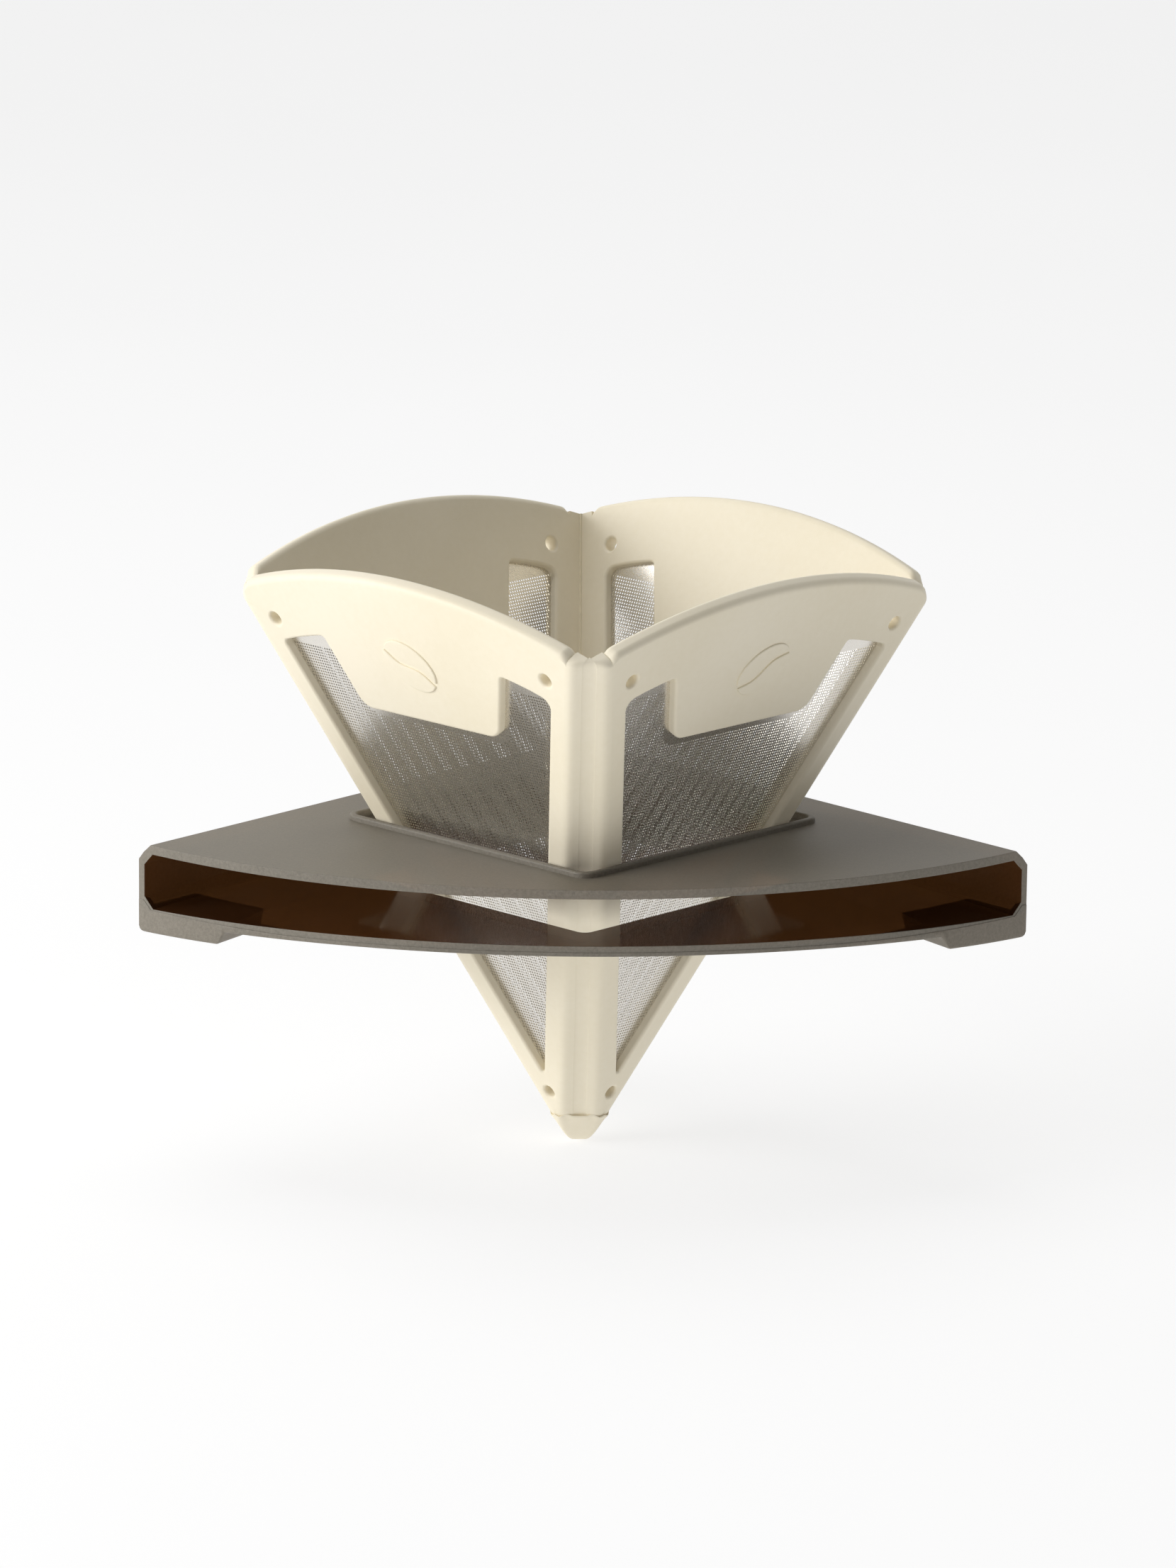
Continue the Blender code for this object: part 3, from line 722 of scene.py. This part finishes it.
def build_apron():
    """The underside's thickened edge along the mouth, with its two feet."""
    r_out = CASE_R + 0.10
    half = [i * 1.5 for i in range(36)] + [53.8 + 0.2 * i for i in range(18)]
    half += [58.0 + i * 1.5 for i in range(7)] + [APRON_END - q for q in (0.7, 0.55, 0.42, 0.3, 0.2, 0.12, 0.05, 0.01)]
    xs = [-x for x in reversed(half[1:])] + half
    bm = bmesh.new()
    rings = []
    for x_at in xs:
        w = math.asin(x_at / r_out)
        drop = apron_depth(x_at)
        d = Vector((math.sin(w), -math.cos(w), 0))
        depth = 11.0 * min(1.0, max(0.12, drop / 3.05 * 1.15))
        if abs(x_at) > 57.5:
            depth = 11.0
        zb = CASE_BOTTOM - drop
        top = CASE_BOTTOM + max(0.05, 0.62 - floor_drop(x_at))
        end = min(1.0, max(0.0, (abs(x_at) - 67.3) / 0.8))
        top += 1.45 * end * end * (3 - 2 * end)
        k = min(0.5, max(0.05, drop * 0.4))
        prof = [(r_out - 0.14, top), (r_out - 0.04, top - 0.02), (r_out, top - 0.10), (r_out, zb + k),
                (r_out - k * 0.29, zb + k * 0.29), (r_out - k, zb),
                (r_out - depth + k, zb), (r_out - depth, zb + k * 0.7), (r_out - depth - drop * 0.35, CASE_BOTTOM + 0.02),
                (r_out - depth - drop * 0.35, CASE_BOTTOM + 0.04), (r_out - 1.6, CASE_BOTTOM + 0.04), (r_out - 1.5, top)]
        rings.append([Vector((d.x * r, CASE_APEX_Y + d.y * r, z)) for r, z in prof])
    loft(bm, rings)
    return to_object("apron", bm, [SMOKE])


def bow_floor(ob):
    """Cut the case into strips and bow the cavity's floor down towards the mouth's ends."""
    bm = bmesh.new()
    bm.from_mesh(ob.data)
    for axis, stops in ((0, range(-64, 65, 8)), (1, range(-40, 61, 10))):
        for at in stops:
            co, no = Vector(), Vector()
            co[axis], no[axis] = at * MM, 1.0
            bmesh.ops.bisect_plane(bm, geom=bm.verts[:] + bm.edges[:] + bm.faces[:], dist=1e-7,
                                   plane_co=co, plane_no=no)
    floor = CASE_BOTTOM + BOTTOM_WALL
    for v in bm.verts:
        x, y, z = (c / MM for c in v.co)
        inner = (abs(x) - (CASE_APEX_Y - y) * math.tan(B)) * math.cos(B) < 0.55     # inside the side walls' skin
        clear = abs(x) + abs(y) > HOLE_HALF * math.sqrt(2.0) + 1.5
        if inner and clear and CASE_BOTTOM < z < floor + CAVITY_CHAMFER + 0.4:
            v.co.z -= floor_drop(x) * min(1.0, (z - CASE_BOTTOM) / (BOTTOM_WALL - 0.3)) * MM
    bm.to_mesh(ob.data)
    bm.free()


def build_case():
    t, b, c = CASE_TOP, CASE_BOTTOM, CASE_CHAMFER
    bm = bmesh.new()
    loft(bm, [sector(b, CASE_SIDE - 1.4, CASE_R, CASE_NOSE_R - 1.4),
              sector(b + 0.4, CASE_SIDE - 0.5, CASE_R, CASE_NOSE_R - 0.5),
              sector(b + 1.4, CASE_SIDE, CASE_R, CASE_NOSE_R),
              sector(t - c, CASE_SIDE, CASE_R, CASE_NOSE_R),
              sector(t - c * 0.5, CASE_SIDE - c * 0.42, CASE_R, CASE_NOSE_R - c * 0.42),
              sector(t, CASE_SIDE - c, CASE_R, CASE_NOSE_R - c)])
    case = to_object("case_shell", bm, [SMOKE, SMOKE_IN])

    cz0, cz1 = b + BOTTOM_WALL, t - TOP_WALL
    si, k = CASE_SIDE - SIDE_WALL, CAVITY_CHAMFER
    nose = CASE_NOSE_R - SIDE_WALL
    bm = bmesh.new()
    loft(bm, [sector(cz0, si - k, CASE_R + 6, nose - k),
              sector(cz0 + k, si, CASE_R + 6, nose),
              sector(cz1 - k, si, CASE_R + 6, nose),
              sector(cz1, si - k, CASE_R + 6, nose - k)], True, 1)
    tool = to_object("hollow", bm, [SMOKE, SMOKE_IN])
    boolean(case, tool, "DIFFERENCE")
    bm = bmesh.new()
    prism(bm, square_ring(HOLE_HALF, HOLE_CORNER_R), b - 5, t + 5)
    boolean(case, to_object("hole", bm, [SMOKE]), "DIFFERENCE")

    mod = case.modifiers.new("edges", "BEVEL")
    mod.width = 0.28 * MM
    mod.segments = 3
    mod.limit_method = "ANGLE"
    mod.angle_limit = math.radians(50)
    mod.use_clamp_overlap = True
    bake(case)
    bow_floor(case)
    rim = slab("rim", square_ring(HOLE_HALF + RIM_W, HOLE_CORNER_R + RIM_W), [square_ring(HOLE_HALF, HOLE_CORNER_R)],
               t - 0.7, t + RIM_H, 0.36, [SMOKE], None, res=4)
    case = join("case_shell", [case, rim, build_apron()])
    shade(case, 35)
    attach(case, "case")
    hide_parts("case_sleeve")


build_case()


# ---- stage, light and camera ---------------------------------------------------------
def build_stage():
    n = Nodes("studio_white")
    co = n.coords()
    tone = n.noise(co, 3.0, 2.0)
    colour = n.ramp(tone, [(0.3, (0.30, 0.30, 0.30)), (0.7, (0.32, 0.32, 0.32))])
    p = n.bsdf(Base_Color=colour, Roughness=0.9)
    p.inputs["Specular IOR Level"].default_value = 0.1
    p.inputs["Emission Color"].default_value = (1.0, 1.0, 1.0, 1.0)
    p.inputs["Emission Strength"].default_value = 0.72
    mat = n.surface(p.outputs[0])
    bm = bmesh.new()
    prof = [(-2600, -0.4), (2400, -0.4)]
    for i in range(1, 13):
        w = math.pi / 2 * i / 12
        prof.append((2400 + 500 * math.sin(w), -0.4 + 500 * (1 - math.cos(w))))
    prof.append((2900, 4600))
    vs = [[bm.verts.new((x, y, z)) for y, z in prof] for x in (-4600, 4600)]
    for i in range(len(prof) - 1):
        bm.faces.new((vs[0][i], vs[1][i], vs[1][i + 1], vs[0][i + 1]))
    ob = to_object("backdrop", bm, [mat])
    ob.data.shade_smooth()


build_stage()

world = bpy.data.worlds.new("studio")
bpy.context.scene.world = world
world.use_nodes = True
bg = next(n for n in world.node_tree.nodes if n.type == "BACKGROUND")
bg.inputs["Color"].default_value = (1.0, 1.0, 1.0, 1.0)
bg.inputs["Strength"].default_value = 0.22


def area(name, place, target, size, watts, colour=(1, 1, 1)):
    li = bpy.data.lights.new(name, "AREA")
    li.shape = "RECTANGLE"
    li.size, li.size_y = size
    li.energy = watts
    li.color = colour
    ob = bpy.data.objects.new(name, li)
    bpy.context.scene.collection.objects.link(ob)
    ob.location = place
    ob.rotation_euler = (Vector(target) - Vector(place)).to_track_quat("-Z", "Y").to_euler()
    return ob


area("key", (-0.86, -0.22, 0.34), (0, 0, 0.06), (0.75, 0.42), 6.9)
area("top", (-0.15, 0.15, 0.95), (0, 0, 0.05), (0.7, 0.6), 2.5)

scene = bpy.context.scene
scene.view_settings.view_transform = "Standard"


def build_camera():
    az, el, roll = math.radians(-0.918), math.radians(13.845), math.radians(0.627)
    dist, tx, tz = 1157.76, 0.814, 57.856
    back = Vector((math.sin(az) * math.cos(el), -math.cos(az) * math.cos(el), math.sin(el)))
    right = Vector((math.cos(az), math.sin(az), 0))
    up = right.cross(-back)
    if up.z < 0:
        up = -up
    r2 = right * math.cos(roll) + up * math.sin(roll)
    u2 = -right * math.sin(roll) + up * math.cos(roll)
    target = Vector((tx * math.cos(az), tx * math.sin(az), tz))
    cam = bpy.data.cameras.new("camera")
    cam.sensor_width = 36.0
    cam.lens = 169.5
    cam.clip_start, cam.clip_end = 0.05, 20.0
    ob = bpy.data.objects.new("camera", cam)
    bpy.context.scene.collection.objects.link(ob)
    m = Matrix((r2, u2, back)).transposed().to_4x4()
    m.translation = (target + back * dist) * MM
    ob.matrix_world = m
    bpy.context.scene.camera = ob


build_camera()

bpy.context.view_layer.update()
